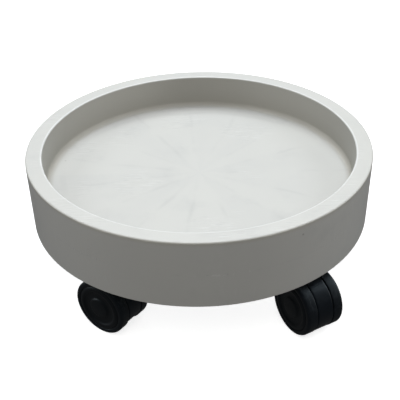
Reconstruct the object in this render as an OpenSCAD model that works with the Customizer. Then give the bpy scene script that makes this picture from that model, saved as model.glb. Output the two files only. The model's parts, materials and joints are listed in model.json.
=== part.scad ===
// Round plant pot caddy: a moulded tray that rolls on five twin-wheel swivel casters.
// Millimetres, +Z up. The origin is on the ground under the tray's centre, and -Y is the front.

/* [Tray] */
// Outside diameter of the rim
tray_d = 300; // [290:5:400]
// Height of the skirt, from its lower edge to the rim
skirt_h = 61; // [54:1:80]
// How much smaller the skirt's lower edge is than the rim, on the radius
skirt_draft = 1; // [0:0.1:2]
// Depth of the pot recess below the rim
recess_depth = 30.5; // [25:0.5:36]
// Width of the flat rim
rim_w = 14; // [10:0.5:16]
// Wall thickness of the moulding
wall = 3; // [2.5:0.1:3.5]
// Height of the rim above the ground
total_h = 118; // [117:1:130]
// Rounding of the rim's outer edge
rim_round = 1.4; // [1:0.1:2.4]

/* [Ribs] */
// Number of ribs from the middle of the floor to its edge, a multiple of the five casters
rib_count = 15; // [10:5:20]
// Depth of the ribs under the floor
rib_h = 7; // [4:1:12]
// Thickness of the ribs
rib_t = 2; // [1.5:0.1:2.5]
// Number of small webs that tie the skirt to the inner wall
web_count = 30; // [10:5:40]

/* [Casters] */
// Radius of the circle that the swivel axes stand on
caster_circle_r = 122; // [112:0.5:124]
// Distance from the swivel axis to the axle
trail = 15; // [14:1:18]
// Wheel diameter over the tyre
wheel_d = 50; // [46:1:50]
// Width of one wheel
wheel_w = 10.5; // [9.5:0.5:12]
// Width of the hood between the two wheels
hood_w = 15; // [14.8:0.2:18]
// How far the ring of casters is turned from one that is even about the front, in degrees
caster_turn = 5; // [-36:1:36]
// Direction in which each caster trails, in degrees from +X, front right caster first
caster_yaw = [-60, 100, 200, 60, 144]; // [-180:1:360]

/* [Fits] */
// Radial running clearance of the stems and the axles
running = 0.05; // [0.02:0.01:0.1]
// Gap between parts that pass each other without touching
gap = 0.5; // [0.4:0.1:0.6]

/* [Hidden] */
$fn = 96;
CASTERS = 5;

// Levels of the tray
skirt_z = total_h - skirt_h;
floor_z = total_h - recess_depth;
under_z = floor_z - wall;
// Radii of the tray
rim_r = tray_d / 2;
mouth_r = rim_r - rim_w;
floor_r = mouth_r - 0.6;
edge_round = 1.2;
floor_fillet = 4;
lip_round = 0.8;

// Stem: a steel pin whose lower end snaps into the housing and whose top sits in the tray
stem_r = 4;
stem_low_z = 36;
snap_z = 38.7;
snap_h = 2;
snap_depth = 0.5;
collar_r = 7.5;
collar_h = 2;
collar_z = skirt_z + 1 - collar_h;
boss_z = collar_z + collar_h;
boss_r = 9;
boss_bore_r = 4.5;
stem_top_z = under_z - 1;
ring_h = 3.6;
ring_z = stem_top_z - 9;
ring_groove_r = 3.3;
ring_split = 30;

// Caster: local +X trails, and the axle runs along local Y at the wheel's radius above the ground
wheel_r = wheel_d / 2;
hood_r = wheel_r - 0.3;
hood_t = 3;
hood_from = -56;
hood_to = 205;
web_t = 4;
axle_r = 3;
axle_boss_r = 6.5;
axle_half = hood_w / 2 + 7.2;
neck_r = hood_w / 2 - 0.1;
flange_r = 11;
flange_h = 3;
housing_top_z = collar_z - 0.3;
neck_fillet = flange_r - neck_r;

// Wheel profile: a is measured outwards from the wheel's inner face, r from its axle
wheel_a = hood_w / 2 + gap;
tyre_in_r = wheel_r - 4.5;
tyre_w = wheel_w - 1;
shoulder = 2.5;
key_r = tyre_in_r - 1;
hub_r = 6.5;
hub_bore_a = 7.4;

// Points of an arc about c, from angle a0 to a1
function arc(c, r, a0, a1, steps = 8) =
    [for (i = [0:steps]) let (a = a0 + (a1 - a0) * i / steps) c + r * [cos(a), sin(a)]];

// Angle round the tray of caster i, the front right one first and on anticlockwise
function place(i) = caster_turn - 54 + (i - 1) * 360 / CASTERS;

module at_stem(i) {
    rotate(place(i)) translate([caster_circle_r, 0, 0]) children();
}

module at_caster(i) {
    rotate(place(i)) translate([caster_circle_r, 0, 0])
        rotate(caster_yaw[i - 1] - place(i)) children();
}

// Places a profile of revolution, drawn in (r, a), on the axle, with a outwards on one side
module on_axle(side) {
    translate([trail, 0, wheel_r]) rotate([-90 * side, 0, 0]) children();
}

// ---- Tray -------------------------------------------------------------------------------

module tray_wall_profile() {
    foot_r = rim_r - skirt_draft;
    polygon(concat(
        [[0, under_z], [0, floor_z]],
        arc([floor_r - floor_fillet, floor_z + floor_fillet], floor_fillet, 270, 360),
        arc([mouth_r + edge_round, total_h - edge_round], edge_round, 180, 90),
        arc([rim_r - rim_round, total_h - rim_round], rim_round, 90, 0),
        arc([foot_r - lip_round, skirt_z + lip_round], lip_round, 0, -90, 4),
        [[foot_r - wall, skirt_z],
         [rim_r - wall, total_h - wall],
         [mouth_r + wall, total_h - wall],
         [floor_r + wall, under_z]]));
}

module floor_ribs() {
    mid_r = 18;
    rib_z = under_z - rib_h;
    fuse = 1;
    for (i = [0:rib_count - 1])
        rotate(place(1) + i * 360 / rib_count)
            translate([mid_r + rib_t / 2, -rib_t / 2, rib_z])
                cube([floor_r - mid_r, rib_t, rib_h + fuse]);
    for (r = [mid_r, floor_r / 3, floor_r * 2 / 3])
        translate([0, 0, rib_z + 1])
            difference() {
                cylinder(r = r + rib_t, h = rib_h);
                translate([0, 0, -fuse]) cylinder(r = r, h = rib_h + 2 * fuse);
            }
}

module channel_webs() {
    low_z = under_z + 4;
    in_r = floor_r + wall / 2;
    out_r = rim_r - wall / 2 - skirt_draft / 2;
    for (i = [0:web_count - 1])
        rotate((i + 0.5) * 360 / web_count)
            translate([in_r, -rib_t / 2, low_z])
                cube([out_r - in_r, rib_t, total_h - wall + 0.5 - low_z]);
}

// A blind boss for one stem, with fins to the inner wall, to the middle and to both sides
module stem_boss() {
    fin_t = rib_t + 1;
    fin_h = under_z - boss_z - 4;
    fin_end = floor_r - caster_circle_r + 1;
    cylinder(r = boss_r, h = under_z + 1.5 - boss_z);
    for (a = [0:90:270])
        rotate(a) translate([0, fin_t / 2, 4]) rotate([90, 0, 0])
            linear_extrude(fin_t)
                polygon([[0, 0], [boss_r + 1, 0], [fin_end, fin_h + 1], [0, fin_h + 1]]);
}

module tray() {
    color([0.87, 0.86, 0.83])
        difference() {
            union() {
                rotate_extrude($fn = 180) tray_wall_profile();
                floor_ribs();
                channel_webs();
                for (i = [1:CASTERS]) at_stem(i) translate([0, 0, boss_z]) stem_boss();
            }
            for (i = [1:CASTERS])
                at_stem(i) translate([0, 0, boss_z - 1])
                    cylinder(r = boss_bore_r, h = stem_top_z + 1.5 - boss_z);
        }
}

// ---- Casters ----------------------------------------------------------------------------

module stem(i) {
    tip = 0.8;
    color("silver")
        at_stem(i) rotate_extrude()
            polygon([[0, stem_low_z], [stem_r - tip, stem_low_z], [stem_r, stem_low_z + tip],
                     [stem_r, snap_z], [stem_r - snap_depth, snap_z],
                     [stem_r - snap_depth, snap_z + snap_h], [stem_r, snap_z + snap_h],
                     [stem_r, collar_z], [collar_r - 0.4, collar_z], [collar_r, collar_z + 0.4],
                     [collar_r, boss_z - 0.4], [collar_r - 0.4, boss_z], [stem_r, boss_z],
                     [stem_r, ring_z - 0.1], [ring_groove_r, ring_z - 0.1],
                     [ring_groove_r, ring_z + ring_h + 0.1], [stem_r, ring_z + ring_h + 0.1],
                     [stem_r, stem_top_z - 2 * tip], [stem_r - 2 * tip, stem_top_z],
                     [0, stem_top_z]]);
}

// Split spring ring that holds the stem in the tray's boss
module grip_ring(i) {
    color("dimgray")
        at_stem(i) rotate(ring_split / 2) rotate_extrude(angle = 360 - ring_split)
            polygon([[ring_groove_r + 0.05, ring_z], [boss_bore_r - 0.4, ring_z],
                     [boss_bore_r, ring_z + 0.8], [boss_bore_r, ring_z + ring_h - 0.8],
                     [boss_bore_r - 0.4, ring_z + ring_h],
                     [ring_groove_r + 0.05, ring_z + ring_h]]);
}

// The part of a circle about the axle between the hood's two ends
module hood_sector(r) {
    reach = 3 * wheel_r;
    intersection() {
        circle(r);
        polygon(concat([[0, 0]], [for (k = [0:6])
            let (a = hood_from + (hood_to - hood_from) * k / 6) reach * [cos(a), sin(a)]]));
    }
}

module hood() {
    lip_r = hood_t / 2 + 0.3;
    translate([trail, 0, wheel_r]) rotate([90, 0, 0]) {
        linear_extrude(hood_w, center = true)
            difference() {
                hood_sector(hood_r);
                circle(hood_r - hood_t);
            }
        linear_extrude(web_t, center = true) hood_sector(hood_r - hood_t / 2);
        rotate(hood_from) translate([hood_r - lip_r, 0, 0])
            cylinder(r = lip_r, h = hood_w, center = true);
        cylinder(r = axle_boss_r, h = hood_w, center = true);
    }
}

// Upright neck round the stem, which flares above the wheels into a round flange
module swivel_neck() {
    flare_z = housing_top_z - flange_h - neck_fillet;
    rotate_extrude()
        polygon(concat(
            [[0, stem_low_z - 2], [neck_r, stem_low_z - 2]],
            arc([neck_r + neck_fillet, flare_z], neck_fillet, 180, 90),
            arc([flange_r - 0.6, housing_top_z - 0.6], 0.6, 0, 90, 4),
            [[0, housing_top_z]]));
}

// Bore for the stem, with the ridge that snaps into the stem's groove
module stem_bore() {
    ridge_z = snap_z + 0.3;
    ridge_h = snap_h - 0.6;
    bore_r = stem_r + running;
    difference() {
        translate([0, 0, stem_low_z - 0.5])
            cylinder(r = bore_r, h = housing_top_z + 1.5 - stem_low_z);
        translate([0, 0, ridge_z])
            difference() {
                cylinder(r = bore_r + 1, h = ridge_h);
                translate([0, 0, -1]) cylinder(r = stem_r - snap_depth + 0.15, h = ridge_h + 2);
            }
    }
}

module housing(i) {
    color([0.09, 0.09, 0.1])
        at_caster(i) difference() {
            union() {
                hood();
                swivel_neck();
            }
            stem_bore();
            translate([trail, 0, wheel_r]) rotate([90, 0, 0])
                cylinder(r = axle_r, h = 2 * hood_w, center = true);
        }
}

module axle(i) {
    bevel = 0.5;
    color("silver")
        at_caster(i) on_axle(1) rotate_extrude()
            polygon([[0, -axle_half], [axle_r - bevel, -axle_half],
                     [axle_r, bevel - axle_half], [axle_r, axle_half - bevel],
                     [axle_r - bevel, axle_half], [0, axle_half]]);
}

// Dished disc with a hub, open on the side that faces the hood
module wheel(i, side) {
    bore = axle_r + running;
    inner_web_a = 6.4;
    color([0.1, 0.1, 0.11])
        at_caster(i) on_axle(side) translate([0, 0, wheel_a]) rotate_extrude()
            polygon(concat(
                [[bore, 0], [hub_r, 0], [hub_r + 0.6, inner_web_a],
                 [tyre_in_r - 4.4, inner_web_a], [tyre_in_r - 3.2, 0], [tyre_in_r, 0],
                 [tyre_in_r, 2.5], [key_r, 3], [key_r, 5], [tyre_in_r, 5.5],
                 [tyre_in_r, tyre_w - 0.6], [tyre_in_r - 0.7, tyre_w - 0.2]],
                arc([tyre_in_r - 3.4, tyre_w - 1.1], 1.7, 50, 130, 6),
                arc([hub_r + 3.6, tyre_w + 0.8], 1.6, 270, 180, 6),
                arc([0, wheel_w - 20], 20, acos(hub_r / 20), 90, 6),
                [[0, hub_bore_a], [bore, hub_bore_a]]));
}

module tyre(i, side) {
    color([0.13, 0.13, 0.14])
        at_caster(i) on_axle(side) translate([0, 0, wheel_a]) rotate_extrude()
            polygon(concat(
                [[tyre_in_r, 0]],
                arc([wheel_r - 0.8, 0.8], 0.8, -90, 0, 4),
                arc([wheel_r - shoulder, tyre_w - shoulder], shoulder, 0, 90),
                [[tyre_in_r, tyre_w - 0.4], [tyre_in_r, 5.5], [key_r, 5], [key_r, 3],
                 [tyre_in_r, 2.5]]));
}

tray();
for (i = [1:CASTERS]) {
    stem(i);
    grip_ring(i);
    housing(i);
    axle(i);
    wheel(i, 1);
    wheel(i, -1);
    tyre(i, 1);
    tyre(i, -1);
}
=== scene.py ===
# %% [markdown]
# A round plant pot caddy: an off-white moulded tray with a wide flat rim, on five black
# casters that each have two wheels and a hood between them. The measured frame gives every
# part its place. This file gives the parts their finish, and models again, with soft moulded
# edges, the pieces that a plain measured solid leaves too sharp.

# %% Load the frame and measure it
import json
import math

import bpy
from mathutils import Matrix, Vector


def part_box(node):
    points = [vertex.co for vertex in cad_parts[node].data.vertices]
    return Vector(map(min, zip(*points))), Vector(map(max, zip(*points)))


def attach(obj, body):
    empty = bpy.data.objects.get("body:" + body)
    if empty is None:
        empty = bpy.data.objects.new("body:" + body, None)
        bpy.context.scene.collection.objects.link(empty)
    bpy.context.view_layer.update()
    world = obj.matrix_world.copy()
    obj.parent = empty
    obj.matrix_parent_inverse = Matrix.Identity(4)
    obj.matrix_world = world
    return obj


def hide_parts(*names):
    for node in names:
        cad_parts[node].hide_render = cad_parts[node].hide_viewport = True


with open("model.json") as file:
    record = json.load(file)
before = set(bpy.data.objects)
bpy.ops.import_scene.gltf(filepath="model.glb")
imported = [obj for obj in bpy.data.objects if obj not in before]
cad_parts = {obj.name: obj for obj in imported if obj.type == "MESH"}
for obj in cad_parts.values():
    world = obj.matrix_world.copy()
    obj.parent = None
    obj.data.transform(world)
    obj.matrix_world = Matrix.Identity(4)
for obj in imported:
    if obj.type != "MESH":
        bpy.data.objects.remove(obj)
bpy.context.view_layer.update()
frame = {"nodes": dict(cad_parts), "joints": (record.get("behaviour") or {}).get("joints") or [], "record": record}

MM = 0.001
CASTERS = range(1, 6)
RIM_W = 14 * MM

tray_low, tray_high = (Vector(corner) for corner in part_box("tray"))
RIM_R = (tray_high.x - tray_low.x) / 2
RIM_Z = tray_high.z
FLOOR_Z = frame["record"]["mounts"][0]["pos_m"][2]
MOUTH_R = RIM_R - RIM_W
JOINTS = {joint["name"]: joint for joint in frame["joints"]}
WHEEL_R = JOINTS["left_roll_1"]["pos_m"][2]
print("tray", [round(v * 1000, 1) for v in (RIM_R, RIM_Z, MOUTH_R, FLOOR_Z)])

# %% [markdown]
# The caddy is looked down on from the front, from about 0.7 m away. The eye's place is given
# in rim radii, so the view keeps its framing if the tray changes size. The camera is turned
# down first and then rolled a little, as one held in the hand is. A fairly long lens keeps
# the round rim from bulging towards the viewer.

# %% Camera
EYE_BACK = 4.241 * RIM_R
EYE_UP = 2.345 * RIM_R
LOOK_DOWN = math.radians(32.91)
ROLL = math.radians(-1.23)
LENS = 74.7

camera_data = bpy.data.cameras.new("camera")
camera_data.lens = LENS
camera = bpy.data.objects.new("camera", camera_data)
bpy.context.collection.objects.link(camera)
camera.matrix_world = (
    Matrix.Translation((0, -EYE_BACK, RIM_Z + EYE_UP))
    @ Matrix.Rotation(math.pi / 2 - LOOK_DOWN, 4, "X")
    @ Matrix.Rotation(ROLL, 4, "Z")
)
bpy.context.scene.camera = camera
print("camera at", [round(v, 3) for v in camera.matrix_world.translation])

# %% [markdown]
# Shader graphs read best as sums. Wire wraps one output socket, so that Python's own
# operators add the Math nodes, and Graph makes every other kind of node through one method:
# its settings first, then the values or links of its sockets.


# %% Shader maths in plain Python
class Wire:
    """One output socket of a graph. Arithmetic on it adds Math nodes."""

    def __init__(self, graph, socket):
        self.graph = graph
        self.socket = socket

    def math(self, operation, *others):
        values = dict(enumerate((self,) + others))
        return self.graph.node("ShaderNodeMath", {"operation": operation}, values)

    def reflected(self, operation, other):
        return self.graph.node("ShaderNodeMath", {"operation": operation}, {0: other, 1: self})

    def __add__(self, other):
        return self.math("ADD", other)

    def __radd__(self, other):
        return self.reflected("ADD", other)

    def __sub__(self, other):
        return self.math("SUBTRACT", other)

    def __rsub__(self, other):
        return self.reflected("SUBTRACT", other)

    def __mul__(self, other):
        return self.math("MULTIPLY", other)

    def __rmul__(self, other):
        return self.reflected("MULTIPLY", other)

    def __abs__(self):
        return self.math("ABSOLUTE")

    def step(self, low, high, to_low=0.0, to_high=1.0):
        """A soft step from to_low to to_high as this value goes from low to high."""
        return self.graph.node(
            "ShaderNodeMapRange",
            {"interpolation_type": "SMOOTHSTEP"},
            {"Value": self, "From Min": low, "From Max": high, "To Min": to_low, "To Max": to_high},
            "Result",
        )


class Graph:
    """The node tree of one new material that ends in a Principled shader."""

    def __init__(self, name):
        self.material = bpy.data.materials.new(name)
        self.material.use_nodes = True
        self.tree = self.material.node_tree
        self.shader = self.tree.nodes["Principled BSDF"]

    def node(self, kind, settings=None, sockets=None, out=0):
        """Adds a node, sets it up, feeds its sockets and gives back one of its outputs."""
        made = self.tree.nodes.new(kind)
        for key, value in (settings or {}).items():
            setattr(made, key, value)
        for key, value in (sockets or {}).items():
            self.feed(made.inputs[key], value)
        return Wire(self, made.outputs[out])

    def feed(self, socket, value):
        if isinstance(value, Wire):
            self.tree.links.new(value.socket, socket)
        else:
            socket.default_value = value

    def principled(self, **sockets):
        for key, value in sockets.items():
            self.feed(self.shader.inputs[key.replace("_", " ")], value)
        return self.material

    def place(self):
        """Where a point of the surface is, in metres."""
        return self.node("ShaderNodeTexCoord", out="Object")

    def moved(self, vector, turn=(0, 0, 0), scale=(1, 1, 1)):
        return self.node(
            "ShaderNodeMapping", None, {"Vector": vector, "Rotation": turn, "Scale": scale}
        )

    def noise(self, vector, scale, detail=3.0, roughness=0.5):
        sockets = {"Vector": vector, "Scale": scale, "Detail": detail, "Roughness": roughness}
        return self.node("ShaderNodeTexNoise", None, sockets)

    def mix(self, factor, a, b):
        """A colour between a and b."""
        sockets = {0: factor, 6: a, 7: b}
        return self.node("ShaderNodeMix", {"data_type": "RGBA"}, sockets, 2)

    def bump(self, height, distance, strength):
        sockets = {"Height": height, "Distance": distance, "Strength": strength}
        return self.node("ShaderNodeBump", None, sockets, "Normal")


def rgb(red, green, blue):
    return (red, green, blue, 1.0)


# %% [markdown]
# The tray is injection-moulded polypropylene. The floor shows where the moulding has ribs
# underneath: each leaves a faint line on top, the panels between them cool to slightly
# different tones, and the melt leaves faint rings near the edge. Pots have rubbed fine
# scratches and grey smudges into it. The first rib runs to the first caster's stem. The lines
# are worked out from each point's own distance to the nearest rib, so they keep their width
# from the middle to the edge.

# %% Marks on the tray
SPOKES = 15
first_stem = JOINTS["swivel_1"]["pos_m"]
FIRST_SPOKE = math.atan2(first_stem[1], first_stem[0])
print("first rib at", round(math.degrees(FIRST_SPOKE), 2), "degrees")


def scratches(graph, place, turn, scale, cut):
    """Thin straight marks along one direction: noise stretched into streaks and cut high."""
    along = graph.moved(place, turn=(0, 0, turn), scale=(1, 22, 1))
    streak = graph.noise(along, scale, 2.0, 0.4)
    patch = graph.noise(place, 14.0 + scale / 40, 2.0).step(0.50, 0.62)
    return streak.step(cut, cut + 0.035) * patch


def polar(graph, place):
    """The distance from the Z axis, the angle round it, and the height of a point."""
    split = graph.node("ShaderNodeSeparateXYZ", None, {"Vector": place})
    x, y, z = (Wire(graph, split.socket.node.outputs[axis]) for axis in "XYZ")
    return (x * x + y * y).math("SQRT"), y.math("ARCTAN2", x), z


def rib_shadows(g, place, radius, angle):
    """Faint soft lines over the ribs, and faint rings near the edge."""
    wander = (g.noise(place, 16.0, 2.0) - 0.5) * 0.10
    turns = (angle - FIRST_SPOKE + wander) * (SPOKES / 2)
    off_spoke = abs(turns.math("SINE")) * radius * (2 / SPOKES)
    worn = g.noise(place, 22.0, 3.0).step(0.42, 0.66)
    spokes = off_spoke.step(0.0, 3.2 * MM, 1.0, 0.0) * radius.step(6 * MM, 34 * MM) * worn
    wave = (radius * 300 + g.noise(place, 9.0, 1.0) * 7).math("SINE")
    rings = wave.step(0.45, 1.0) * radius.step(88 * MM, 116 * MM)
    return spokes, rings * g.noise(place, 13.0, 2.0).step(0.46, 0.62)


def panel_tones(g, place, angle):
    """One tone for each panel between two ribs, with soft borders."""
    around = (angle * (SPOKES / 2)).math("SINE") * (angle * 2.0 + 0.7).math("SINE")
    return (around + g.noise(place, 12.0, 3.0) * 1.6 - 0.8).step(-0.5, 0.9)


# %% [markdown]
# Wear and painted light each keep to their own places. Pots scratch the flat faces in a few main
# directions. A painted shade darkens the corner round the floor, and a painted shadow the band
# just under the rim's outer edge, while a painted highlight makes the rim's inner edge paler.
# Each of these is a mask, from 0 to 1, made from a point's place alone.


# %% Where the tray is worn, and where shade and highlight are painted
def streaks(g, place):
    """Pale rubbed streaks and dark scored ones, each in two directions."""
    rubbed = scratches(g, place, 0.35, 60.0, 0.62) + scratches(g, place, 1.9, 80.0, 0.63)
    scored = scratches(g, place, 1.1, 95.0, 0.64) + scratches(g, place, 2.6, 70.0, 0.64)
    return rubbed, scored


def specks_of_dirt(g, place):
    cells = g.node("ShaderNodeTexVoronoi", None, {"Vector": place, "Scale": 55.0}, "Distance")
    return cells.step(0.03, 0.07, 1.0, 0.0) * g.noise(place, 31.0).step(0.62, 0.66)


def inner_wall(radius, z):
    """The corner round the floor, where shade is painted darker, and the wall above it."""
    inside = radius.step(MOUTH_R - 0.2 * MM, MOUTH_R + 0.6 * MM, 1.0, 0.0)
    foot = z.step(FLOOR_Z - 2 * MM, FLOOR_Z + 20 * MM, 1.0, 0.0) * inside
    # painted shade: darker where the floor meets the inner wall
    corner = foot * radius.step(MOUTH_R - 8 * MM, MOUTH_R - 1.5 * MM)
    return corner, inside * z.step(FLOOR_Z + 1 * MM, FLOOR_Z + 4 * MM)


def rim_edges(radius, z):
    """The band under the rim's outer edge, where a shadow is painted, and the inner edge, where a highlight is
    painted.
    """
    outside = radius.step(RIM_R - 1.0 * MM, RIM_R - 0.2 * MM)
    # painted shadow: a darker band just under the rim's outer edge
    band = z.step(RIM_Z - 4.5 * MM, RIM_Z - 1.2 * MM) * z.step(RIM_Z - 0.9 * MM, RIM_Z, 1.0, 0.0)
    # painted highlight: a paler line along the rim's inner edge
    edge_highlight = abs(radius - MOUTH_R - 0.7 * MM).step(0.3 * MM, 1.1 * MM, 1.0, 0.0)
    return outside * band, edge_highlight * z.step(RIM_Z - 1.6 * MM, RIM_Z - 0.6 * MM)


# %% [markdown]
# The plastic itself is a warm off-white, and all marks on it stay faint, because the caddy is
# nearly new. Every mask mixes one tone over the colour so far. The inner wall is painted a
# shade warmer and darker: painted shade, with painted warm light in the stead of the light that
# bounces between wall and floor in a real room and that the studio below leaves out.

# %% Tray plastic
PLASTIC = rgb(0.615, 0.610, 0.580)
PLASTIC_CLOUD = rgb(0.590, 0.587, 0.565)
PANEL = rgb(0.52, 0.522, 0.512)
SMUDGE = rgb(0.50, 0.50, 0.49)
GREY_LINE = rgb(0.42, 0.42, 0.41)
RUBBED = rgb(0.74, 0.74, 0.725)
# painted shade for the corner round the floor
CORNER_SHADE = rgb(0.34, 0.31, 0.24)
# painted shade and painted warm bounce light for the inner wall
WALL_WARM_SHADE = rgb(0.605, 0.590, 0.520)
# painted shadow under the rim's outer edge
RIM_LIP_SHADOW = rgb(0.50, 0.47, 0.38)
# painted highlight for the rim's inner edge
EDGE_HIGHLIGHT = rgb(0.80, 0.80, 0.79)
SPECK = rgb(0.30, 0.29, 0.27)


def tray_plastic():
    g = Graph("tray_plastic")
    place = g.place()
    radius, angle, z = polar(g, place)
    on_floor = abs(z - FLOOR_Z).step(0.4 * MM, 1.2 * MM, 1.0, 0.0)
    spokes, rings = rib_shadows(g, place, radius, angle)
    lines = (spokes + rings * 0.6) * on_floor
    tones = panel_tones(g, place, angle) * on_floor
    clouds = g.noise(place, 11.0, 4.0, 0.6)
    smudge = g.noise(place, 24.0, 4.0, 0.6).step(0.52, 0.76)
    rubbed, scored = streaks(g, place)
    level = on_floor.math("MAXIMUM", z.step(RIM_Z - 0.8 * MM, RIM_Z - 0.2 * MM))
    wear = level * 0.93 + 0.07
    corner, wall = inner_wall(radius, z)
    lip_shadow, edge_highlight = rim_edges(radius, z)

    colour = g.mix(clouds.step(0.35, 0.7, 0.0, 0.6), PLASTIC, PLASTIC_CLOUD)
    for mask, tone in (
        (tones * 0.13, PANEL),
        (smudge * 0.30, SMUDGE),
        (lines * 0.19, GREY_LINE),
        ((scored * wear * 0.34).math("MINIMUM", 0.5), GREY_LINE),
        ((rubbed * wear * 0.45).math("MINIMUM", 0.6), RUBBED),
        # painted shade in the corner round the floor
        (corner * 0.55, CORNER_SHADE),
        # painted shade and painted warm bounce light on the inner wall
        (wall * 0.75, WALL_WARM_SHADE),
        # painted shadow under the rim's outer edge
        (lip_shadow * 0.35, RIM_LIP_SHADOW),
        # painted highlight along the rim's inner edge
        (edge_highlight * 0.7, EDGE_HIGHLIGHT),
        (specks_of_dirt(g, place) * 0.6, SPECK),
    ):
        colour = g.mix(mask, colour, tone)

    grain = g.noise(place, 1500.0, 2.0)
    wave = g.noise(place, 35.0, 2.0)
    height = grain * 0.012 + wave * 0.25 - lines * 0.10 - scored * 0.03
    return g.principled(
        Base_Color=colour,
        Roughness=0.44 + clouds * 0.12 - rubbed * 0.10 + smudge * 0.08,
        IOR=1.49,
        Normal=g.bump(height, 0.4 * MM, 0.6),
    )


# %% [markdown]
# The caster parts are all black, and only their finish tells them apart. The hood is smooth
# nylon with a soft, slightly blue shine, and the wheel discs have a rougher, duller grain.

# %% Black plastics
BLUE_SHINE = rgb(0.78, 0.92, 1.0)


def black_plastic(name, colour, dusty, rough, grain_height):
    g = Graph(name)
    place = g.place()
    clouds = g.noise(place, 90.0, 4.0, 0.6)
    dust = g.noise(place, 240.0, 5.0, 0.65).step(0.50, 0.80)
    rubbed = scratches(g, place, 0.6, 240.0, 0.64) + scratches(g, place, 2.0, 300.0, 0.65)
    tint = g.mix(dust * 0.35 + rubbed * 0.15, rgb(*colour), rgb(*dusty))
    grain = g.noise(place, 2600.0, 2.0)
    height = grain * grain_height + clouds * 0.2 - rubbed * 0.05
    return g.principled(
        Base_Color=tint,
        Roughness=rough + clouds * 0.16 + dust * 0.10,
        IOR=1.53,
        Specular_Tint=BLUE_SHINE,
        Normal=g.bump(height, 0.25 * MM, 0.5),
    )


# %% [markdown]
# The tread of a tyre picks up dust, and its sides stay cleaner. Where the two halves of its
# mould met there is a hair-fine raised line round the middle of the tread. Both follow the
# tyre and not the room, so they read two numbers that each tyre carries on its own points:
# the distance from the axle, and the distance out from the tyre's inner face.

# %% Tread
MOULD_LINE = 4.6 * MM


def tread():
    g = Graph("black_tyre")
    place = g.place()
    section = g.node("ShaderNodeAttribute", {"attribute_name": "section"}, out="Vector")
    split = g.node("ShaderNodeSeparateXYZ", None, {"Vector": section})
    radius, out = (Wire(g, split.socket.node.outputs[axis]) for axis in "XY")
    rolling = radius.step(WHEEL_R - 1.2 * MM, WHEEL_R - 0.3 * MM)
    mould_line = abs(out - MOULD_LINE).step(0.08 * MM, 0.3 * MM, 1.0, 0.0) * rolling
    clouds = g.noise(place, 90.0, 4.0, 0.6)
    dust = g.noise(place, 260.0, 5.0, 0.65).step(0.45, 0.78) * (rolling * 0.8 + 0.2)
    rubbed = scratches(g, place, 0.6, 240.0, 0.64) + scratches(g, place, 2.0, 300.0, 0.65)
    worn = (dust * 0.55 + rubbed * 0.2).math("MINIMUM", 1.0)
    grain = g.noise(place, 2600.0, 2.0)
    height = grain * 0.08 + clouds * 0.2 - rubbed * 0.05 + mould_line * 0.5
    return g.principled(
        Base_Color=g.mix(worn, rgb(0.0026, 0.0036, 0.0056), rgb(0.020, 0.024, 0.030)),
        Roughness=0.36 + clouds * 0.14 + dust * 0.16,
        IOR=1.52,
        Specular_Tint=BLUE_SHINE,
        Normal=g.bump(height, 0.25 * MM, 0.5),
    )


# %% [markdown]
# The stems and axles are zinc-plated steel, drawn and cut, so they are bright with faint
# rings from turning. The spring rings are darker, because they were hardened in oil. At the
# end of this step every measured node gets the finish that its slot in the record names.


# %% Steel
def steel(name, colour, rough):
    g = Graph(name)
    place = g.place()
    turned = g.noise(g.moved(place, scale=(0.2, 0.2, 6)), 900.0, 3.0)
    clouds = g.noise(place, 160.0, 4.0, 0.6)
    tint = g.mix(clouds.step(0.3, 0.8), rgb(*colour), rgb(*(0.72 * v for v in colour)))
    return g.principled(
        Base_Color=tint,
        Metallic=1.0,
        Roughness=rough + turned * 0.12 + clouds * 0.10,
        Normal=g.bump(turned, 0.05 * MM, 0.4),
    )


MATERIALS = {
    "tray_plastic": tray_plastic(),
    "black_housing": black_plastic(
        "black_housing", (0.0020, 0.0032, 0.0056), (0.010, 0.014, 0.020), 0.27, 0.02
    ),
    "black_wheel": black_plastic(
        "black_wheel", (0.0018, 0.0022, 0.0030), (0.008, 0.009, 0.011), 0.38, 0.06
    ),
    "black_tyre": tread(),
    "zinc_steel": steel("zinc_steel", (0.62, 0.63, 0.65), 0.24),
    "spring_steel": steel("spring_steel", (0.20, 0.20, 0.22), 0.30),
}
NODE_SLOT = {part["node"]: part["material_slot"] for part in frame["record"]["subparts"]}
for name, node in frame["nodes"].items():
    node.data.materials.clear()
    node.data.materials.append(MATERIALS[NODE_SLOT[name]])
print(len(frame["nodes"]), "nodes painted with", len(MATERIALS), "finishes")

# %% [markdown]
# The frame says where each caster stands. The swivel joint gives the stem's axis, and a wheel's
# joint gives the axle, so the way from one to the other is the way the caster trails. A piece
# is modelled once on the bench, where the stem's axis is at zero and the caster trails along
# +X, and each copy's mesh is then moved to its own caster.


# %% Where the casters are
def caster_place(number):
    """The matrix that takes a piece from the bench to its caster."""
    stem = Vector(JOINTS[f"swivel_{number}"]["pos_m"])
    axle = Vector(JOINTS[f"left_roll_{number}"]["pos_m"])
    trails = math.atan2(axle.y - stem.y, axle.x - stem.x)
    return Matrix.Translation((stem.x, stem.y, 0)) @ Matrix.Rotation(trails, 4, "Z")


first_axle = JOINTS["left_roll_1"]["pos_m"]
TRAIL = math.hypot(first_axle[0] - first_stem[0], first_axle[1] - first_stem[1])
HOOD_HALF = 7.5 * MM
HOOD_R = WHEEL_R - 0.3 * MM
print("wheel radius", WHEEL_R, "trail", round(TRAIL, 4))

# %% [markdown]
# Most steps below are the same few moves: clear the selection, work on the new primitive in
# edit mode, and apply a modifier. These helpers do only that.


# %% Bench helpers
def start(name):
    """Names the primitive that was just added and puts its place into its mesh."""
    piece = bpy.context.object
    piece.name = piece.data.name = name
    bpy.ops.object.transform_apply(location=True, rotation=True, scale=True)
    return piece


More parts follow.
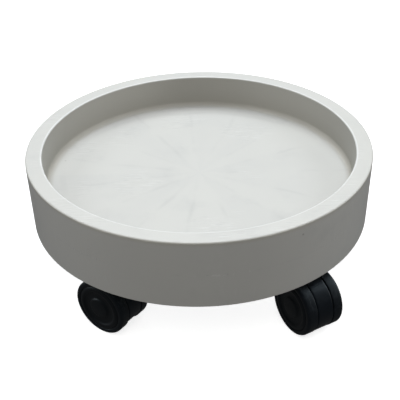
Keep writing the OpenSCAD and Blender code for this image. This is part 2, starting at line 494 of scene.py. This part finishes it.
def only(*pieces):
    bpy.ops.object.select_all(action="DESELECT")
    for piece in pieces:
        piece.select_set(True)
    bpy.context.view_layer.objects.active = pieces[0]


def select_cap(piece, towards):
    """In edit mode, selects the one flat face that lies furthest along a direction."""
    bpy.ops.object.mode_set(mode="OBJECT")
    mesh = piece.data
    for group in (mesh.vertices, mesh.edges, mesh.polygons):
        group.foreach_set("select", [False] * len(group))
    way = Vector(towards)
    facing = [face for face in mesh.polygons if face.normal.dot(way) > 0.99]
    max(facing, key=lambda face: face.center.dot(way)).select = True
    bpy.ops.object.mode_set(mode="EDIT")


def modify(piece, kind, **settings):
    """Adds one modifier with its settings and applies it."""
    only(piece)
    modifier = piece.modifiers.new(kind.lower(), kind)
    for key, value in settings.items():
        setattr(modifier, key, value)
    bpy.ops.object.modifier_apply(modifier=modifier.name)


def clean(piece, merge=0.00001):
    """Merges doubles and turns every face outwards."""
    only(piece)
    bpy.ops.object.mode_set(mode="EDIT")
    bpy.ops.mesh.select_all(action="SELECT")
    bpy.ops.mesh.remove_doubles(threshold=merge)
    bpy.ops.mesh.normals_make_consistent(inside=False)
    bpy.ops.object.mode_set(mode="OBJECT")


# %% [markdown]
# The hood is the black body between the two wheels. On the real caster it is one moulding:
# a band that follows the wheels, a web down to the axle, and a neck that turns on the stem
# under a round flange. It could be cut from a drum, but a band is a flat section carried
# round an axle, so spin makes it in one move. The pieces are then fused by a fine remesh, and
# smoothing rounds every inner corner, as the mould does.

# %% Hood band and web
HOOD_FROM = math.radians(-56)
HOOD_TURN = math.radians(261)
BAND_T = 3 * MM
WEB_HALF = 2 * MM
HUB_GAP = 2 * MM
SPIN_STEPS = 96


def spun_section(name, inner, outer, half, corner):
    """A rounded rectangle across the axle, spun round it from the hood's one end to the other."""
    middle = (inner + outer) / 2
    at = (TRAIL + middle * math.cos(HOOD_FROM), 0, WHEEL_R + middle * math.sin(HOOD_FROM))
    bpy.ops.object.select_all(action="DESELECT")
    bpy.ops.mesh.primitive_plane_add(size=1, location=at, rotation=(0, -HOOD_FROM, 0))
    bpy.context.object.scale = (outer - inner, 2 * half, 1)
    piece = start(name)
    bpy.ops.object.mode_set(mode="EDIT")
    bpy.ops.mesh.select_all(action="SELECT")
    bpy.ops.mesh.bevel(offset=corner, segments=4, affect="VERTICES")
    bpy.ops.mesh.select_all(action="SELECT")
    turn = {"steps": SPIN_STEPS, "angle": HOOD_TURN}
    bpy.ops.mesh.spin(center=(TRAIL, 0, WHEEL_R), axis=(0, 1, 0), **turn)
    bpy.ops.object.mode_set(mode="OBJECT")
    clean(piece)
    return piece


band = spun_section("hood_band", HOOD_R - BAND_T, HOOD_R, HOOD_HALF, 0.7 * MM)
web = spun_section("hood_web", HUB_GAP, HOOD_R - BAND_T / 2, WEB_HALF, 0.3 * MM)
print("band", len(band.data.polygons), "faces; reaches", [round(v, 4) for v in band.dimensions])

# %% [markdown]
# The neck starts as a plain drum. Its top is drawn up and widened in small steps along a
# quarter circle, which gives the flare under the flange, and then goes straight up as the
# flange's edge. The flange is what the tray's weight presses on, so it is the widest part.

# %% Neck, flange and axle boss
NECK_R = 7.4 * MM
FLANGE_R = 11 * MM
FLANGE_H = 3 * MM
FLANGE_EDGE = 0.6 * MM
FLARE_STEPS = 6
BOSS_R = 6.5 * MM
HOUSING_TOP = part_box("housing_1")[1][2]
NECK_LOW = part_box("stem_1")[0][2] - 2 * MM


def drum(name, radius, low, high, sides=64):
    bpy.ops.object.select_all(action="DESELECT")
    bpy.ops.mesh.primitive_cylinder_add(
        vertices=sides, radius=radius, depth=high - low, location=(0, 0, (low + high) / 2)
    )
    return start(name)


def draw_up(rise, grow):
    """In edit mode, extrudes the selected cap upwards and scales it about its own middle."""
    bpy.ops.mesh.extrude_region_move(TRANSFORM_OT_translate={"value": (0, 0, rise)})
    bpy.ops.transform.resize(value=(grow, grow, 1))


flare = FLANGE_R - NECK_R
flare_z = HOUSING_TOP - FLANGE_H - flare
neck = drum("neck", NECK_R, NECK_LOW, flare_z)
select_cap(neck, (0, 0, 1))
radius, height = NECK_R, 0.0
for step in range(1, FLARE_STEPS + 1):
    bend = math.pi / 2 * step / FLARE_STEPS
    next_radius = NECK_R + flare * (1 - math.cos(bend))
    next_height = flare * math.sin(bend)
    draw_up(next_height - height, next_radius / radius)
    radius, height = next_radius, next_height
draw_up(FLANGE_H - FLANGE_EDGE, 1)
draw_up(FLANGE_EDGE, 1 - FLANGE_EDGE / FLANGE_R)
bpy.ops.object.mode_set(mode="OBJECT")

ONTO_AXLE = Matrix.Translation((TRAIL, 0, WHEEL_R)) @ Matrix.Rotation(math.pi / 2, 4, "X")
boss = drum("axle_boss", BOSS_R, -HOOD_HALF, HOOD_HALF)
boss.data.transform(ONTO_AXLE)
print("neck", len(neck.data.vertices), "points; flange top at", round(HOUSING_TOP, 4))

# %% [markdown]
# Joined pieces still pass through each other, and a voxel remesh turns them into one skin.
# Smoothing then melts the steps away, and decimation leaves fewer faces where it is flat. The
# bores are drilled last, with exact booleans, so that they keep the size of stem and axle.

# %% Fuse the hood and drill it
VOXEL = 0.4 * MM
STEM_BORE_R = 4.05 * MM
AXLE_BORE_R = 3 * MM
only(band, web, neck, boss)
bpy.ops.object.join()
hood = bpy.context.object
hood.name = "hood"
modify(hood, "REMESH", mode="VOXEL", voxel_size=VOXEL)
modify(hood, "SMOOTH", factor=0.5, iterations=8)
modify(hood, "DECIMATE", ratio=0.35)

stem_drill = drum("stem_drill", STEM_BORE_R, NECK_LOW + 1.5 * MM, HOUSING_TOP + 5 * MM)
axle_drill = drum("axle_drill", AXLE_BORE_R, -2 * HOOD_HALF, 2 * HOOD_HALF)
axle_drill.data.transform(ONTO_AXLE)
for drill in (stem_drill, axle_drill):
    modify(hood, "BOOLEAN", operation="DIFFERENCE", object=drill, solver="EXACT")
    bpy.data.objects.remove(drill)
clean(hood, 0.00002)
only(hood)
bpy.ops.object.shade_smooth_by_angle(angle=math.radians(40))
print("hood", len(hood.data.polygons), "faces")

# %% [markdown]
# A wheel is a moulded disc with a separate tread ring. The disc starts as a drum. Its outer
# cap is inset and moved ring by ring, as on a lathe, to give the raised bead, the dish and
# the domed hub. Its inner cap is inset and pushed in to leave a rim, a web and a hub with
# the axle's bore, which is what keeps a real moulded wheel light.

# %% Wheel disc
DISC_R = WHEEL_R - 4.5 * MM
DISC_W = 8.9 * MM
POCKET_R = 17.3 * MM
POCKET_DEPTH = 6.4 * MM
HUB_R = 6.6 * MM
BORE_R = 3.05 * MM
BORE_DEPTH = 7.4 * MM
# Each ring of the outer face: its radius, and its distance from the inner face, in millimetres
FACE_RINGS = (
    (19.8, 9.3), (18.8, 9.85), (17.9, 10.1), (16.9, 10.1), (15.9, 9.75), (15.2, 9.1),
    (14.6, 8.85), (10.2, 8.7), (9.2, 9.05), (8.7, 9.8), (8.1, 10.1), (6.6, 10.2),
    (4.4, 10.4), (2.2, 10.48),
)


def inset_to(radius, ring_radius, rise):
    """In edit mode, insets the selected cap to a new radius and moves it along the axle."""
    bpy.ops.mesh.inset(thickness=(radius - ring_radius) * 0.99)
    bpy.ops.transform.translate(value=(0, 0, rise))
    return ring_radius


def push(rise):
    bpy.ops.mesh.extrude_region_move(TRANSFORM_OT_translate={"value": (0, 0, rise)})


disc = drum("disc", DISC_R, 0, DISC_W, 96)
select_cap(disc, (0, 0, 1))
radius, height = DISC_R, DISC_W
for ring_radius, ring_height in FACE_RINGS:
    radius = inset_to(radius, ring_radius * MM, ring_height * MM - height)
    height = ring_height * MM
select_cap(disc, (0, 0, -1))
inset_to(DISC_R, POCKET_R, 0)
push(POCKET_DEPTH)
inset_to(POCKET_R, HUB_R, 0)
push(-POCKET_DEPTH)
inset_to(HUB_R, BORE_R, 0)
push(BORE_DEPTH)
bpy.ops.object.mode_set(mode="OBJECT")
modify(disc, "BEVEL", width=0.25 * MM, segments=2, limit_method="ANGLE", angle_limit=0.6)
clean(disc)
only(disc)
bpy.ops.object.shade_smooth_by_angle(angle=math.radians(35))
print("disc", len(disc.data.polygons), "faces", [round(v * 1000, 2) for v in disc.dimensions])

# %% [markdown]
# The tread is a ring of harder rubber with a heavily rounded outer shoulder. Its squarish
# outline is given rounded corners and spun once round the axle. The fine raised line where
# the two halves of its mould meet is left to the material, because it is hair-thin.

# %% Tyre
TYRE_W = 9.5 * MM
TYRE_STEPS = 128
INNER_CORNER = 0.8 * MM
OUTER_CORNER = 2.5 * MM
CORNER_STEPS = 8


def quarter_round(middle, corner, first):
    """Points on a quarter circle about middle, from the angle first in degrees."""
    bends = (math.radians(first + 90 * k / CORNER_STEPS) for k in range(CORNER_STEPS + 1))
    return [(middle[0] + corner * math.cos(b), middle[1] + corner * math.sin(b)) for b in bends]


def tyre_section():
    """Half-plane outline of the tyre as (radius, distance out from the inner face)."""
    points = [(DISC_R, 0.3 * MM), (DISC_R + 0.3 * MM, 0)]
    middle = WHEEL_R - INNER_CORNER, INNER_CORNER
    points += quarter_round(middle, INNER_CORNER, -90)
    middle = WHEEL_R - OUTER_CORNER, TYRE_W - OUTER_CORNER
    points += quarter_round(middle, OUTER_CORNER, 0)
    points += [(DISC_R + 0.5 * MM, TYRE_W), (DISC_R, TYRE_W - 0.5 * MM)]
    return points


def lathe(name, outline, steps):
    """Draws an outline point by point with extrude, and spins it once round the Z axis."""
    bpy.ops.object.select_all(action="DESELECT")
    bpy.ops.mesh.primitive_plane_add(size=1, location=(0, 0, 0))
    piece = start(name)
    bpy.ops.object.mode_set(mode="EDIT")
    bpy.ops.mesh.select_all(action="SELECT")
    bpy.ops.mesh.merge(type="CENTER")
    bpy.ops.transform.translate(value=(outline[0][0], 0, outline[0][1]))
    for before, after in zip(outline, outline[1:] + outline[:1]):
        move = (after[0] - before[0], 0, after[1] - before[1])
        bpy.ops.mesh.extrude_region_move(TRANSFORM_OT_translate={"value": move})
    bpy.ops.mesh.select_all(action="SELECT")
    bpy.ops.mesh.remove_doubles(threshold=0.000001)
    bpy.ops.mesh.select_all(action="SELECT")
    bpy.ops.mesh.spin(steps=steps, angle=math.tau, center=(0, 0, 0), axis=(0, 0, 1))
    bpy.ops.object.mode_set(mode="OBJECT")
    clean(piece)
    return piece


tyre = lathe("tyre", tyre_section(), TYRE_STEPS)
only(tyre)
bpy.ops.object.shade_smooth_by_angle(angle=math.radians(50))
print("tyre", len(tyre.data.polygons), "faces", [round(v * 1000, 2) for v in tyre.dimensions])

# %% [markdown]
# Patterns that follow the tread need to know how far out a point lies from the axle and how
# far across the tyre, wherever the wheel has rolled to. So each tyre carries those two numbers
# on its own points, taken on the bench where the axle is the Z axis.


# %% Write the lathe coordinates into the mesh
def mark_section(piece):
    mesh = piece.data
    section = mesh.attributes.new("section", "FLOAT_VECTOR", "POINT")
    for point, mark in zip(mesh.vertices, section.data):
        mark.vector = (math.hypot(point.co.x, point.co.y), point.co.z, 0.0)


mark_section(tyre)
print("section written on", tyre.name)

# %% [markdown]
# Every caster gets its own copies. A copy's mesh is moved to its place, so the object itself
# stays at zero, and it rides on the body that the measured part belongs to.

# %% Copies for the five casters
WHEEL_OUT = HOOD_HALF + 0.5 * MM
BODY_OF = {
    node: body for body, nodes in frame["record"]["behaviour"]["bodies"].items() for node in nodes
}


def stand_in(pattern, node, place, slot):
    """A copy of a bench piece in its own place, in the stead of one measured node."""
    piece = bpy.data.objects.new(f"soft_{node}", pattern.data.copy())
    bpy.context.collection.objects.link(piece)
    piece.data.name = piece.name
    piece.data.transform(place)
    piece.data.materials.clear()
    piece.data.materials.append(MATERIALS[slot])
    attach(piece, BODY_OF[node])
    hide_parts(node)


for number in CASTERS:
    here = caster_place(number)
    stand_in(hood, f"housing_{number}", here, "black_housing")
    for side, way in (("left", -1), ("right", 1)):
        on_axle = (
            here
            @ Matrix.Translation((TRAIL, 0, WHEEL_R))
            @ Matrix.Rotation(way * math.pi / 2, 4, "X")
            @ Matrix.Translation((0, 0, WHEEL_OUT))
        )
        stand_in(disc, f"wheel_{side}_{number}", on_axle, "black_wheel")
        stand_in(tyre, f"tyre_{side}_{number}", on_axle, "black_tyre")
for pattern in (hood, disc, tyre):
    bpy.data.objects.remove(pattern)
print("casters dressed:", len(CASTERS))

# %% [markdown]
# A plain pale floor and seven soft lamps. Three hang above the caddy, the strongest behind it
# and the next in front, and each side has one high up and one low down. So the rim and the
# floor of the tray are bright, the walls that face sideways are less so, and the skirt that
# faces the viewer is in soft shade. The studio floor glows by itself, which keeps it white
# with only a trace of shadow, but it throws no light back up. The tray throws none either, so
# no bounce fills its shaded inner wall. Both are stage craft, not what a real room does.

# %% Studio
FLOOR_SIZE = 30.0
FLOOR_GLOW = 0.8
bpy.ops.mesh.primitive_plane_add(size=FLOOR_SIZE, location=(0, 0, 0))
ground = bpy.context.object
ground.name = "ground"
ground_graph = Graph("ground")
ground.data.materials.append(
    ground_graph.principled(
        Base_Color=rgb(0.6, 0.6, 0.6),
        Roughness=0.9,
        Emission_Color=rgb(1, 1, 1),
        Emission_Strength=FLOOR_GLOW,
    )
)
ground.visible_diffuse = False
ground.visible_glossy = False
frame["nodes"]["tray"].visible_diffuse = False

# %% [markdown]
# A large lamp close by gives softer shade than a small one. Most lamps are a little cool, and
# the one in front a little warm. That one is left out of the gloss, because it would draw a
# hard bright line along the floor's rounded corner.

# %% Lamps
CENTRE = Vector((0, 0, 0.09))
NEUTRAL = (1.0, 1.0, 1.0)
COOL = (0.955, 1.0, 1.035)
WARM = (1.0, 0.995, 0.97)


def panel(name, place, size, power, tint, shines=True):
    """A soft square lamp at place that faces the caddy, and that gloss may leave out."""
    data = bpy.data.lights.new(name, "AREA")
    data.shape = "SQUARE"
    data.size = size
    data.energy = power
    data.color = tint
    lamp = bpy.data.objects.new(name, data)
    bpy.context.collection.objects.link(lamp)
    lamp.location = place
    lamp.visible_glossy = shines
    lamp.rotation_euler = (CENTRE - Vector(place)).to_track_quat("-Z", "Y").to_euler()


panel("above", (0, 0.1, 1.5), 0.5, 3.0, COOL)
panel("above_behind", (0, 0.7, 1.3), 0.7, 12.0, COOL)
panel("above_front", (0, -1.0, 1.3), 0.7, 9.3, WARM, shines=False)
panel("left_high", (-1.2, 0.3, 1.0), 0.5, 4.0, COOL)
panel("right_high", (1.2, 0.3, 1.0), 0.5, 4.4, COOL)
panel("left_low", (-1.4, 0.1, 0.35), 0.4, 2.0, NEUTRAL)
panel("right_low", (1.4, 0.1, 0.35), 0.4, 2.6, NEUTRAL)
print("lamps:", len(bpy.data.lights))

# %% [markdown]
# The room itself is white to look at, but it lights the caddy only a little, so that the
# lamps shape it. A mix that asks whether a ray comes straight from the eye does that. The
# plain display curve keeps white paper white, where the default one would turn it grey.

# %% Room and display
ROOM_LIGHT = 0.08
bpy.context.scene.view_settings.view_transform = "Standard"
world = bpy.data.worlds.new("studio")
bpy.context.scene.world = world
world.use_nodes = True
tree = world.node_tree
room = tree.nodes["Background"]
room.inputs["Color"].default_value = rgb(1, 1, 1)
room.inputs["Strength"].default_value = ROOM_LIGHT
seen = tree.nodes.new("ShaderNodeBackground")
seen.inputs["Color"].default_value = rgb(1, 1, 1)
ray = tree.nodes.new("ShaderNodeLightPath")
either = tree.nodes.new("ShaderNodeMixShader")
tree.links.new(ray.outputs["Is Camera Ray"], either.inputs[0])
tree.links.new(room.outputs[0], either.inputs[1])
tree.links.new(seen.outputs[0], either.inputs[2])
tree.links.new(either.outputs[0], tree.nodes["World Output"].inputs["Surface"])
print("room light", ROOM_LIGHT)
